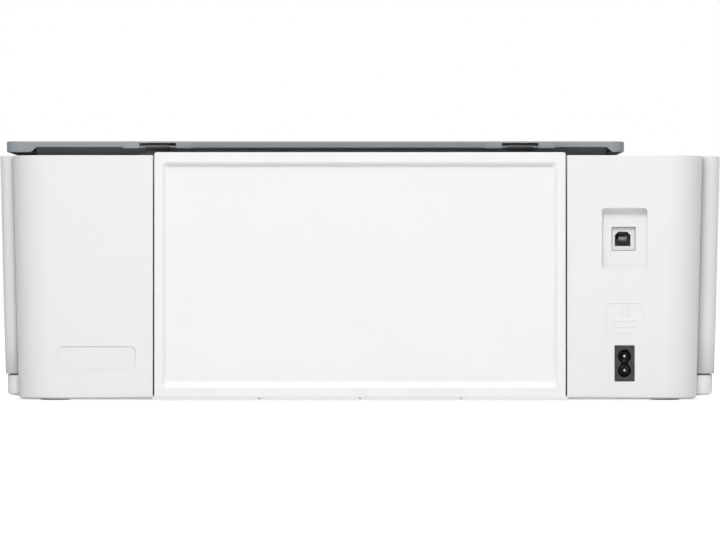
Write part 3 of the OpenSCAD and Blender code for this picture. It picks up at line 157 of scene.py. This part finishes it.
# Materials --------------------------------------------------------------------
class Finish:
    """A Principled material whose colour, roughness and bump come from procedural noise in object space."""

    def __init__(self, name, **sockets):
        self.material = bpy.data.materials.new(name)
        self.material.use_nodes = True
        self.nodes = self.material.node_tree.nodes
        self.links = self.material.node_tree.links
        self.shader = self.nodes["Principled BSDF"]
        for socket, value in sockets.items():
            self.shader.inputs[socket.replace("_", " ")].default_value = value
        self.place = self.nodes.new("ShaderNodeTexCoord").outputs["Object"]

    def noise(self, scale, detail=2.0, stretch=(1, 1, 1)):
        place = self.place
        if stretch != (1, 1, 1):
            mapping = self.nodes.new("ShaderNodeMapping")
            mapping.inputs["Scale"].default_value = stretch
            self.links.new(place, mapping.inputs["Vector"])
            place = mapping.outputs["Vector"]
        texture = self.nodes.new("ShaderNodeTexNoise")
        texture.inputs["Scale"].default_value = scale
        texture.inputs["Detail"].default_value = detail
        self.links.new(place, texture.inputs["Vector"])
        return texture.outputs["Fac"]

    def ramp(self, value, low, high, colours):
        ramp = self.nodes.new("ShaderNodeValToRGB")
        ramp.color_ramp.elements[0].position = low
        ramp.color_ramp.elements[1].position = high
        for element, colour in zip(ramp.color_ramp.elements, colours):
            element.color = (*colour, 1)
        self.links.new(value, ramp.inputs["Fac"])
        return ramp.outputs["Color"]

    def mix(self, factor, first, second):
        mix = self.nodes.new("ShaderNodeMix")
        mix.data_type = "RGBA"
        self.links.new(factor, mix.inputs["Factor"])
        self.links.new(first, mix.inputs["A"])
        self.links.new(second, mix.inputs["B"])
        return mix.outputs["Result"]

    def colour(self, base, spread=0.02, scale=9.0, speckle=0.0):
        """Cloudy variation of the moulding, with fine darker speckle scattered at random through the grain.
        """
        dark = tuple(c * (1 - spread) for c in base)
        light = tuple(min(1, c * (1 + spread)) for c in base)
        out = self.ramp(self.noise(scale, 3), 0.35, 0.65, (dark, light))
        if speckle:
            spot = tuple(c * (1 - speckle) for c in base)
            grain = self.ramp(self.noise(2600, 1), 0.38, 0.52, ((1, 1, 1), (0, 0, 0)))
            out = self.mix(grain, out, self.ramp(self.noise(scale), 0, 1, (spot, spot)))
        self.links.new(out, self.shader.inputs["Base Color"])
        return self

    def paint_crease_shade(self, reach, darkest):
        """Paints shade into the base colour: an ambient occlusion node darkens it where the surface lies in
        a narrow gap, within that reach in metres.
        """
        seen = self.nodes.new("ShaderNodeAmbientOcclusion")
        seen.inputs["Distance"].default_value = reach
        seen.samples = 8
        socket = self.shader.inputs["Base Color"]
        tone = self.ramp(seen.outputs["AO"], 0.3, 0.95, ((darkest,) * 3, (1, 1, 1)))
        multiply = self.nodes.new("ShaderNodeMix")
        multiply.data_type = "RGBA"
        multiply.blend_type = "MULTIPLY"
        multiply.inputs["Factor"].default_value = 1.0
        self.links.new(socket.links[0].from_socket, multiply.inputs["A"])
        self.links.new(tone, multiply.inputs["B"])
        self.links.new(multiply.outputs["Result"], socket)
        return self

    def rough(self, low, high, scale=40.0):
        value = self.nodes.new("ShaderNodeMapRange")
        value.inputs["To Min"].default_value = low
        value.inputs["To Max"].default_value = high
        self.links.new(self.noise(scale, 4), value.inputs["Value"])
        self.links.new(value.outputs["Result"], self.shader.inputs["Roughness"])
        return self

    def grain(self, scale, height, detail=2.0, stretch=(1, 1, 1)):
        """Bump of that height in metres."""
        bump = self.nodes.new("ShaderNodeBump")
        bump.inputs["Distance"].default_value = height
        bump.inputs["Strength"].default_value = 1.0
        self.links.new(self.noise(scale, detail, stretch), bump.inputs["Height"])
        self.links.new(bump.outputs["Normal"], self.shader.inputs["Normal"])
        return self


def base_of(slot):
    return next(m["base_color"][:3] for m in RECORD["materials"] if m["slot"] == slot)


def moulded(
    slot,
    spread=0.015,
    rough=(0.42, 0.52),
    grain=(1500, 2.2e-5),
    speckle=0.02,
    tint=(1, 1, 1),
    crease_shade=None,
    **sockets,
):
    finish = Finish(slot, **sockets)
    finish.colour([b * t for b, t in zip(base_of(slot), tint)], spread, 7, speckle)
    # painted shade: an ambient occlusion node darkens the base colour in narrow gaps
    if crease_shade:
        finish.paint_crease_shade(*crease_shade)
    finish.rough(*rough)
    finish.grain(*grain)
    return finish.material


def glossy(slot, spread=0.02, rough=(0.1, 0.18), grain=(90, 4e-6), **sockets):
    finish = Finish(slot, **sockets)
    finish.colour(base_of(slot), spread, 14)
    finish.rough(*rough, scale=25)
    finish.grain(*grain)
    return finish.material


def sheet_steel():
    finish = Finish("steel", Metallic=1.0)
    finish.colour(base_of("steel"), 0.06, 30)
    finish.rough(0.24, 0.42, 60)
    finish.grain(60, 6e-6, 6, (1, 18, 18))
    return finish.material


def clear(slot, roughness, alpha, spread=0.01):
    finish = Finish(slot, Alpha=alpha)
    finish.colour(base_of(slot), spread, 20)
    finish.rough(roughness, roughness + 0.06, 60)
    finish.grain(220, 3e-6)
    return finish.material


def rubbery(slot):
    finish = Finish(slot)
    finish.colour(base_of(slot), 0.12, 120, 0.2)
    finish.rough(0.72, 0.88, 300)
    finish.grain(900, 4e-5, 4)
    return finish.material


def circuit_board():
    """Green resist with lighter copper tracks under it."""
    finish = Finish("board")
    base = base_of("board")
    patch, track = 0.85, 1.7        # tone of every other patch and of the tracks, against the resist
    tracks = finish.nodes.new("ShaderNodeTexBrick")
    tracks.inputs["Scale"].default_value = 60
    tracks.inputs["Mortar Size"].default_value = 0.03
    tracks.inputs["Color1"].default_value = (*base, 1)
    tracks.inputs["Color2"].default_value = (*(c * patch for c in base), 1)
    tracks.inputs["Mortar"].default_value = (*(min(1, c * track) for c in base), 1)
    finish.links.new(finish.place, tracks.inputs["Vector"])
    finish.links.new(tracks.outputs["Color"], finish.shader.inputs["Base Color"])
    finish.rough(0.25, 0.4)
    finish.grain(400, 1e-5)
    return finish.material


def ink(slot):
    finish = Finish("ink_" + slot, Coat_Weight=0.4)
    finish.colour(base_of(slot), 0.1, 30)
    finish.rough(0.08, 0.16)
    finish.grain(40, 1e-5)
    return finish.material


MATERIALS = {
    "white_shell": moulded("white_shell"),
    "tray_white": moulded("tray_white", rough=(0.38, 0.46), speckle=0.012),
    "lid_grey": moulded("lid_grey", 0.03, tint=(1.42, 1.35, 1.37), rough=(0.4, 0.5), speckle=0.06),
    "pad_white": moulded("pad_white", 0.02, (0.8, 0.9), (700, 6e-5), 0.05),
    "rubber": rubbery("rubber"),
    "steel": sheet_steel(),
    "dark_plastic": moulded("dark_plastic", 0.04, (0.42, 0.55), speckle=0.08),
    "black_plastic": moulded("black_plastic", 0.06, (0.4, 0.52), speckle=0.1),
    "socket_plastic": moulded("socket_plastic", 0.02, (0.3, 0.4)),
    "glass": clear("glass", 0.02, 0.25),
    "gloss_panel": glossy("gloss_panel", rough=(0.06, 0.1), Coat_Weight=0.6),
    "display": glossy("display", rough=(0.04, 0.08), Coat_Weight=1.0),
    "board": circuit_board(),
    "clear_window": clear("clear_window", 0.05, 0.08),
    "tank_plastic": clear("tank_plastic", 0.22, 0.13),
    "gear_white": moulded("gear_white", 0.03, (0.45, 0.55)),
    "roller_rubber": rubbery("roller_rubber"),
    "latch_blue": glossy("latch_blue", rough=(0.25, 0.35)),
    "cap_black": glossy("cap_black", rough=(0.3, 0.4)),
    "cap_cyan": glossy("cap_cyan", rough=(0.3, 0.4)),
    "cap_magenta": glossy("cap_magenta", rough=(0.3, 0.4)),
    "cap_yellow": glossy("cap_yellow", rough=(0.3, 0.4)),
    "button_grey": glossy("button_grey", rough=(0.25, 0.35)),
}
# Side covers: white shell with painted shade, its base colour darkened in narrow gaps such as the step
# beside the rear cover
SIDE_SHELL_PAINTED_SHADE = moulded("white_shell", crease_shade=(0.045, 0.3))
# Scanner base: a copy of dark_plastic with 3.2 times its colour, painted light that lifts the band out of
# the shade under the lid
BAND_PAINTED_LIGHT = moulded("dark_plastic", 0.04, (0.42, 0.55), speckle=0.08, tint=(3.2, 3.2, 3.2))
INLET_SHELL = moulded("black_plastic", 0.06, (0.4, 0.52), speckle=0.1, tint=(1.6, 1.6, 1.6))
for name, node in NODES.items():
    node.data.materials.clear()
    node.data.materials.append(MATERIALS[SLOT_OF[name]])


# Pieces -----------------------------------------------------------------------
def add_piece(name, mesh, body, slot, material=None):
    piece = bpy.data.objects.new(name, mesh)
    mesh.materials.append(material or MATERIALS[slot])
    bpy.context.collection.objects.link(piece)
    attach(piece, body)
    return piece


def shade(mesh, angle):
    """Smooth shading that breaks at edges sharper than angle, in degrees."""
    mesh.shade_smooth()
    mesh.set_sharp_from_angle(angle=math.radians(angle))


def weigh_normals(piece):
    modifier = piece.modifiers.new("even_normals", "WEIGHTED_NORMAL")
    modifier.keep_sharp = True
    modifier.weight = 60


def whole_mesh(node):
    """The CAD node's surface as one welded bmesh with its flat areas joined into single faces."""
    surface = bmesh.new()
    surface.from_mesh(NODES[node].data)
    bmesh.ops.remove_doubles(surface, verts=surface.verts, dist=4e-6)
    bmesh.ops.dissolve_limit(
        surface, angle_limit=math.radians(0.6), verts=surface.verts, edges=surface.edges, delimit={"NORMAL"}
    )
    return surface


def round_edges(surface, radius, segments, within, angle=30, shortest=0.8):
    """Rounds the edges sharper than angle and longer than shortest where within(edge) allows it."""
    chosen = [
        edge
        for edge in surface.edges
        if len(edge.link_faces) == 2
        and edge.calc_face_angle(0) > math.radians(angle)
        and edge.calc_length() > shortest * MM
        and (within is None or within(edge))
    ]
    bmesh.ops.bevel(
        surface,
        geom=chosen,
        offset=radius * MM,
        offset_type="OFFSET",
        segments=segments,
        profile=0.5,
        affect="EDGES",
        clamp_overlap=False,
    )


def paint(piece, *coats):
    """Gives faces their own material: each coat is (slot, test of a face's middle and of its points)."""
    mesh = piece.data
    for slot, test in coats:
        index = len(mesh.materials)
        mesh.materials.append(MATERIALS[slot])
        for face in mesh.polygons:
            if test(face.center, [mesh.vertices[i].co for i in face.vertices]):
                face.material_index = index


def rounded_shell(
    node, radius, segments=2, within=None, shortest=0.8, first=(), coats=(), material=None, reshape=None
):
    """Replaces a CAD node by a copy whose edges are really rounded.

    radius None leaves the edges sharp; first holds (radius, segments, within) passes for the broad edges.
    """
    surface = whole_mesh(node)
    if reshape:
        reshape(surface)
    for broad in first:
        round_edges(surface, *broad)
    if radius:
        round_edges(surface, radius, segments, within, shortest=shortest)
    mesh = bpy.data.meshes.new(node + "_shell")
    surface.to_mesh(mesh)
    surface.free()
    shade(mesh, 50)
    piece = add_piece(node + "_shell", mesh, BODY_OF[node], SLOT_OF[node], material)
    paint(piece, *coats)
    weigh_normals(piece)
    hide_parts(node)
    return piece


def middle(edge):
    return (edge.verts[0].co + edge.verts[1].co) / 2


def inside(low, high):
    """A test that an edge lies in a box between two corners."""
    return lambda edge: all(low[i] < middle(edge)[i] < high[i] for i in range(3))


def clear_of(low, high):
    """A test that an edge lies outside a box between two corners."""
    in_box = inside(low, high)
    return lambda edge: not in_box(edge)


def near_axis(x, z, radius):
    """A test for faces that lie within radius of the line along Y through x, z."""
    return lambda place, points: all(math.hypot(p.x - x, p.z - z) < radius for p in points)


def on_shaft(node, radius):
    """A test for faces that lie within radius of the node's own middle line along X."""
    low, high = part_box(node)
    y, z = (low.y + high.y) / 2, (low.z + high.z) / 2
    return lambda place, points: all(math.hypot(p.y - y, p.z - z) < radius for p in points)


# Rounded mouldings --------------------------------------------------------------
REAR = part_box("rear_cover")
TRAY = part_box("input_tray")
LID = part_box("scanner_lid")
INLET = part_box("power_inlet")
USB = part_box("usb_port")
inlet_x = (INLET[0].x + INLET[1].x) / 2
MARKS_HALF_W = 13 * MM          # box round the raised marks, between the inlet and the data socket
MARKS_OVER_INLET = 1.5 * MM
MARKS_UNDER_USB = 20 * MM
marks = (
    Vector((inlet_x - MARKS_HALF_W, REAR[1].y - 2 * MM, INLET[1].z + MARKS_OVER_INLET)),
    Vector((inlet_x + MARKS_HALF_W, REAR[1].y + 2 * MM, USB[0].z - MARKS_UNDER_USB)),
)
FOOT_BAND = 2 * MM              # height that the broad rounding of a foot takes up


def along_foot(node, rise=0.6):
    """A test for the edges of the node's foot."""
    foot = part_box(node)[0].z
    return lambda edge: all(vert.co.z < foot + rise * MM for vert in edge.verts)


def dish_rim(edge):
    """The long edges where the input tray's dish meets its back face."""
    place = middle(edge)
    return (
        place.y > TRAY[1].y - 0.2 * MM
        and abs(place.x) < TRAY[1].x - 3 * MM
        and TRAY[0].z + 3 * MM < place.z < TRAY[1].z - 3 * MM
    )


DISH_DEPTH = 3.0
DISH_DRAFT = 2.0                # how far the dish's floor is set in from its rim
DISH_STEP = 6.0                 # the same along its lower side, which slopes more


def draft_dish(surface):
    """Slopes the walls of the input tray's dish by drawing its floor in from the rim."""
    for vert in surface.verts:
        place = vert.co
        in_dish = abs(place.x) < TRAY[1].x - 4 * MM and TRAY[0].z + 5 * MM < place.z < TRAY[1].z - 5 * MM
        if not in_dish or abs(place.y - (TRAY[1].y - DISH_DEPTH * MM)) > 0.1 * MM:
            continue
        low_side = place.z < TRAY[0].z + 12 * MM
        place.x -= math.copysign(DISH_DRAFT, place.x) * MM if abs(place.x) > TRAY[1].x - 12 * MM else 0
        if low_side:
            place.z += DISH_STEP * MM
        elif place.z > TRAY[1].z - 12 * MM:
            place.z -= DISH_DRAFT * MM


def tray_outline(edge):
    """Edges of the tray's outside, clear of its foot and its dish."""
    place = middle(edge)
    return not dish_rim(edge) and place.z > TRAY[0].z + FOOT_BAND and (
        abs(place.x) > TRAY[1].x - 1 * MM or place.z > TRAY[1].z - 1 * MM
    )


SKIRT_DEPTH = 8 * MM            # the rear skirt with its bosses, from its rear face to its front
SKIRT_HALF_W = 182 * MM         # half the stretch of the skirt that is notched for the hinges


def lid_outline(edge):
    """Edges of the lid's outside, clear of the hinge openings in its rear skirt."""
    place = middle(edge)
    lid_middle = (LID[0].x + LID[1].x) / 2
    in_front = place.y <= LID[1].y - SKIRT_DEPTH
    return in_front or place.z > LID[1].z - 0.5 * MM or abs(place.x - lid_middle) > SKIRT_HALF_W


rounded_shell(
    "rear_cover",
    0.4,
    3,
    lambda edge: clear_of(*marks)(edge) and middle(edge).z > REAR[0].z + FOOT_BAND,
    first=[(1.3, 5, along_foot("rear_cover")), (0.13, 2, inside(*marks), 30, 0.3)],
)
# the side covers take the white shell with painted shade in their gaps
rounded_shell("side_cover_left", 0.6, 3, material=SIDE_SHELL_PAINTED_SHADE)
rounded_shell("side_cover_right", 0.6, 3, material=SIDE_SHELL_PAINTED_SHADE)
rounded_shell("front_bezel", 0.5, 3)
rounded_shell("top_deck", 0.4)
rounded_shell("base_pan", 0.6)
# the scanner base takes the brightened copy of dark plastic, which is painted light
rounded_shell("scanner_base", 0.4, material=BAND_PAINTED_LIGHT)
rounded_shell("scanner_lid", 0.8, 4, lid_outline, shortest=1.0)
rounded_shell("lid_pad", 1.2, 3)
rounded_shell(
    "input_tray",
    0.5,
    3,
    tray_outline,
    first=[
        (0.4, 3, dish_rim, 10, 0.0),
        (1.0, 5, along_foot("input_tray", 1.5)),
    ],
    reshape=draft_dish,
)
rounded_shell("tray_carrier", 0.3)
rounded_shell("tray_support_plate", 0.3)
rounded_shell("front_door", 0.5, 3)
INK_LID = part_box("ink_lid")
INK_HINGE = 12 * MM             # depth of the ink lid's hinge side, whose edges stay sharp
rounded_shell("ink_lid", 0.5, 3, lambda edge: middle(edge).y < INK_LID[1].y - INK_HINGE)
rounded_shell("output_tray", 0.5)
rounded_shell("tray_extender", 0.4)
rounded_shell("paper_stop", 0.25)
rounded_shell("control_panel", 0.3)
rounded_shell("lid_hinge_arms", 0.25)
rounded_shell("power_supply", 0.8)
rounded_shell("service_station", 0.5)
rounded_shell("printheads", 0.6)
rounded_shell("print_carriage", 0.5)
rounded_shell("printhead_latch", 0.4)
rounded_shell("rubber_feet", 0.6, 3)
rounded_shell("scan_carriage", 0.4)
for key in ["power", "wireless", "info", "cancel", "copy"]:
    rounded_shell("button_" + key, 0.45, 3)
for number in range(1, 5):
    rounded_shell(f"ink_cap_{number}", 0.4, 2)


# Pieces of more than one material -----------------------------------------------
PIN_PITCH = 8.6 * MM
PIN_REACH = 1.35 * MM           # a little over a pin's radius
pin_mid = (INLET[0].z + INLET[1].z) / 2
rounded_shell(
    "power_inlet",
    None,
    material=INLET_SHELL,
    coats=[
        ("steel", near_axis(inlet_x, pin_mid + PIN_PITCH / 2, PIN_REACH)),
        ("steel", near_axis(inlet_x, pin_mid - PIN_PITCH / 2, PIN_REACH)),
    ],
)
usb_mid = (USB[0] + USB[1]) / 2
MOUTH_HALF = (5.6 * MM, 5.2 * MM)           # half width and half height of the data socket's mouth
TONGUE_HALF = (3.2 * MM, 1.5 * MM)
TONGUE_DEPTH = (8.6 * MM, 1.2 * MM)         # from the socket's face to the tongue's root and tip


def in_socket(place, points):
    """Faces of the data socket's mouth behind its white frame."""
    return (
        abs(place.x - usb_mid.x) < MOUTH_HALF[0]
        and abs(place.z - usb_mid.z) < MOUTH_HALF[1]
        and place.y < USB[1].y - 0.1 * MM
    )


def on_tongue(place, points):
    return (
        abs(place.x - usb_mid.x) < TONGUE_HALF[0]
        and abs(place.z - usb_mid.z) < TONGUE_HALF[1]
        and USB[1].y - TONGUE_DEPTH[0] < place.y < USB[1].y - TONGUE_DEPTH[1]
    )


rounded_shell("usb_port", None, coats=[("black_plastic", in_socket), ("lid_grey", on_tongue)])

SHAFT = 3.15 * MM               # a little over the radius of the rollers' shafts
AXLE = 1.2 * MM
GEAR_END = 12 * MM              # length of a roller's end that is its gear


def gear_end(node):
    """A test for the faces of the gear at the roller's end beside the motor."""
    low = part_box(node)[0]
    return lambda place, points: place.x < low.x + GEAR_END


for node in ["feed_roller", "output_roller", "pickup_roller"]:
    rounded_shell(node, None, coats=[("gear_white", gear_end(node)), ("steel", on_shaft(node, SHAFT))])
rounded_shell("motor_pinion", None, coats=[("steel", on_shaft("motor_pinion", AXLE))])
rounded_shell("pinch_rollers", 0.3, coats=[("steel", on_shaft("pinch_rollers", AXLE))])
rounded_shell("star_wheels", None, coats=[("steel", on_shaft("star_wheels", AXLE))])

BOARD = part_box("mainboard")
board_face = BOARD[1].y - 1.7 * MM          # just past the bare board's front
CONNECTOR_ROW = 17 * MM                     # from the board's top edge
CAPACITOR_ROW = 14 * MM                     # from its lower edge


def raised_part(place, points):
    return place.y < board_face


def connector(place, points):
    return raised_part(place, points) and place.z > BOARD[1].z - CONNECTOR_ROW


def capacitor(place, points):
    return raised_part(place, points) and place.z < BOARD[0].z + CAPACITOR_ROW


rounded_shell(
    "mainboard",
    None,
    coats=[
        ("black_plastic", raised_part),
        ("socket_plastic", connector),
        ("steel", capacitor),
    ],
)


# Ink in the tanks, level marks, button signs and what the display shows -------------
def prism(points, low, high):
    """A solid between two heights over a closed outline."""
    solid = bmesh.new()
    foot = [solid.verts.new((x, y, low)) for x, y in points]
    top = [solid.verts.new((x, y, high)) for x, y in points]
    solid.faces.new(list(reversed(foot)))
    solid.faces.new(top)
    for i, vert in enumerate(foot):
        following = (i + 1) % len(foot)
        solid.faces.new((vert, foot[following], top[following], top[i]))
    return solid


class Relief:
    """Thin raised signs on a level face, joined into one piece."""

    def __init__(self, origin, depth=0.2, rise=0.12):
        self.origin = origin
        self.low = origin.z - depth * MM
        self.high = origin.z + rise * MM
        self.whole = bmesh.new()

    def add(self, points):
        placed = [(self.origin.x + x * MM, self.origin.y + y * MM) for x, y in points]
        solid = prism(placed, self.low, self.high)
        mesh = bpy.data.meshes.new("part")
        solid.to_mesh(mesh)
        solid.free()
        self.whole.from_mesh(mesh)
        bpy.data.meshes.remove(mesh)

    def bar(self, start, end, width=0.5):
        start, end = Vector(start), Vector(end)
        side = (end - start).orthogonal().normalized() * width / 2
        self.add([start + side, start - side, end - side, end + side])

    def arc(self, radius, start, end, width=0.5, centre=(0, 0), steps=28):
        turn = [math.radians(start + (end - start) * i / steps) for i in range(steps + 1)]
        outer, inner = (
            [(centre[0] + r * math.cos(a), centre[1] + r * math.sin(a)) for a in turn]
            for r in (radius + width / 2, radius - width / 2)
        )
        self.add(outer + inner[::-1])

    def dot(self, radius, centre=(0, 0), steps=24):
        turn = [2 * math.pi * i / steps for i in range(steps)]
        self.add([(centre[0] + radius * math.cos(a), centre[1] + radius * math.sin(a)) for a in turn])

    def sheet(self, x, y, width=0.5):
        """Outline of a page between two corners."""
        for start, end in [((x[0], y[0]), (x[1], y[0])), ((x[0], y[1]), (x[1], y[1]))]:
            self.bar(start, end, width)
        for start, end in [((x[0], y[0]), (x[0], y[1])), ((x[1], y[0]), (x[1], y[1]))]:
            self.bar(start, end, width)

    def finish(self, name, body, slot):
        mesh = bpy.data.meshes.new(name)
        bmesh.ops.recalc_face_normals(self.whole, faces=self.whole.faces)
        self.whole.to_mesh(mesh)
        self.whole.free()
        return add_piece(name, mesh, body, slot)


def top_middle(node):
    low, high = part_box(node)
    return Vector(((low.x + high.x) / 2, (low.y + high.y) / 2, high.z))


def button_signs():
    power = Relief(top_middle("button_power"))
    power.arc(2.4, 120, 420)
    power.bar((0, 0.8), (0, 3.2))
    wireless = Relief(top_middle("button_wireless") - Vector((0, 1.6 * MM, 0)))
    wireless.dot(0.6)
    for radius in [1.7, 2.9, 4.1]:
        wireless.arc(radius, 48, 132)
    page = Relief(top_middle("button_info"))
    page.sheet((-1.9, 1.9), (-2.5, 2.5))
    for height in [-1, 0, 1]:
        page.bar((-1, height), (1, height), 0.35)
    cancel = Relief(top_middle("button_cancel"))
    cancel.bar((-2, -2), (2, 2), 0.6)
    cancel.bar((-2, 2), (2, -2), 0.6)
    copy = Relief(top_middle("button_copy"))
    copy.sheet((-2.4, 0.8), (-2.4, 1.2))
    copy.bar((-0.8, 2.4), (2.4, 2.4))
    copy.bar((2.4, 2.4), (2.4, -1.0))
    signs = {"power": power, "wireless": wireless, "info": page, "cancel": cancel, "copy": copy}
    for name, relief in signs.items():
        relief.finish("sign_" + name, BODY_OF["button_" + name], "gear_white")


INK_SLOTS = ["cap_black", "cap_cyan", "cap_magenta", "cap_yellow"]


def display_picture():
    """Four ink levels and a row of plain bars behind the display's gloss."""
    centre = top_middle("display_window")
    body = BODY_OF["display_window"]
    for i, (slot, level) in enumerate(zip(INK_SLOTS, [11, 9, 12, 7.5])):
        x = -10.5 + 4.6 * i
        frame_lines = Relief(centre, rise=0.02)
        frame_lines.sheet((x - 1.5, x + 1.5), (-6.6, 6.6), 0.25)
        frame_lines.finish(f"level_frame_{i + 1}", body, "gear_white")
        filled = Relief(centre, rise=0.03)
        filled.bar((x, -6.2), (x, -6.2 + level), 2.4)
        filled.finish(f"level_bar_{i + 1}", body, slot)
    rows = Relief(centre, rise=0.02)
    for i, length in enumerate([5, 4, 5, 3]):
        rows.bar((8, 5.4 - 3.4 * i), (8 + length, 5.4 - 3.4 * i), 0.7)
    rows.finish("display_rows", body, "gear_white")


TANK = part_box("ink_tank_block")
TANK_WALL = 1.6 * MM
CHAMBER = 9.1 * MM              # half width of one chamber
GAP = 0.1 * MM                  # between the ink and the walls round it
INK_LEVELS = [58, 47, 63, 40]   # depth of the ink in each chamber
LONG_MARK, SHORT_MARK = 4.5, 2  # half widths of the level marks
MARK_HEIGHTS = {8: LONG_MARK, 22: SHORT_MARK, 36: SHORT_MARK, 50: SHORT_MARK, 66: LONG_MARK}


def tank_contents():
    for i, (slot, level) in enumerate(zip(INK_SLOTS, INK_LEVELS)):
        x = top_middle(f"ink_cap_{i + 1}").x
        y = [TANK[0].y + TANK_WALL + GAP, TANK[1].y - TANK_WALL - GAP]
        half = CHAMBER - GAP
        low = TANK[0].z + TANK_WALL + GAP
        high = low + level * MM
        outline = [(x - half, y[0]), (x + half, y[0]), (x + half, y[1]), (x - half, y[1])]
        body_of_ink = prism(outline, low, high)
        round_edges(body_of_ink, 0.5, 3, None)
        mesh = bpy.data.meshes.new(f"ink_{i + 1}")
        bmesh.ops.recalc_face_normals(body_of_ink, faces=body_of_ink.faces)
        body_of_ink.to_mesh(mesh)
        body_of_ink.free()
        shade(mesh, 40)
        add_piece(f"ink_{i + 1}", mesh, BODY_OF["ink_tank_block"], slot, ink(slot))


def level_marks():
    """Low and high marks on the front of each chamber."""
    whole = bmesh.new()
    for i in range(4):
        x = top_middle(f"ink_cap_{i + 1}").x
        for height, half in MARK_HEIGHTS.items():
            size = Vector((2 * half * MM, 0.2 * MM, 0.7 * MM))
            place = Vector((x, TANK[0].y, TANK[0].z + height * MM))
            shape = Matrix.Translation(place) @ Matrix.Diagonal((*size, 1))
            bmesh.ops.create_cube(whole, size=1, matrix=shape)
    mesh = bpy.data.meshes.new("level_marks")
    whole.to_mesh(mesh)
    whole.free()
    add_piece("level_marks", mesh, BODY_OF["ink_tank_block"], "black_plastic")


button_signs()
display_picture()
tank_contents()
level_marks()
